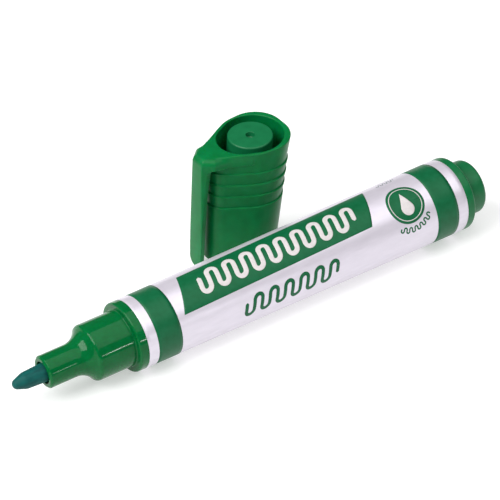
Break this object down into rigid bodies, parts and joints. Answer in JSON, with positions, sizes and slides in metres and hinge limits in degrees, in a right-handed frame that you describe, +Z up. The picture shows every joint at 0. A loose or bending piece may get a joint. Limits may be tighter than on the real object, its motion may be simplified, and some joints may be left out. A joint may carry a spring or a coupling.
{
  "type": "whiteboard marker",
  "caption": "Whiteboard marker lying on its side with a bullet nib, stepped nose and printed label, and its ribbed clip cap standing behind it.",
  "frame": {"origin": "centre of the bounding box in plan, on the surface that the pen lies on and the cap stands on", "axes": "+X along the surface under the pen, from the nib towards the tail; +Y from the pen towards the cap behind it; +Z up"},
  "size_m": [0.1296, 0.0394, 0.0325],
  "materials": {
    "nib": "dense felt soaked with ink",
    "nose": "glossy moulded polypropylene",
    "barrel": "glossy moulded polypropylene",
    "label": "satin silver printed film with green panels",
    "reservoir": "polyester fibre soaked with ink",
    "film": "thin clear film",
    "plug": "glossy moulded polypropylene",
    "cap": "satin moulded polypropylene",
    "inner_cap": "satin moulded polypropylene"
  },
  "bodies": {
    "pen": {"nib": "nib", "nose_section": "nose", "barrel": "barrel", "label_sleeve": "label", "ink_reservoir": "reservoir", "reservoir_film": "film", "end_plug": "plug"},
    "cap": {"cap_shell": "cap", "inner_cap": "inner_cap"}
  },
  "joints": [
    {"name": "cap_lift", "type": "slide", "parent": "pen", "child": "cap", "axis": [0, 0, 1], "range_m": [0, 0.06]}
  ]
}
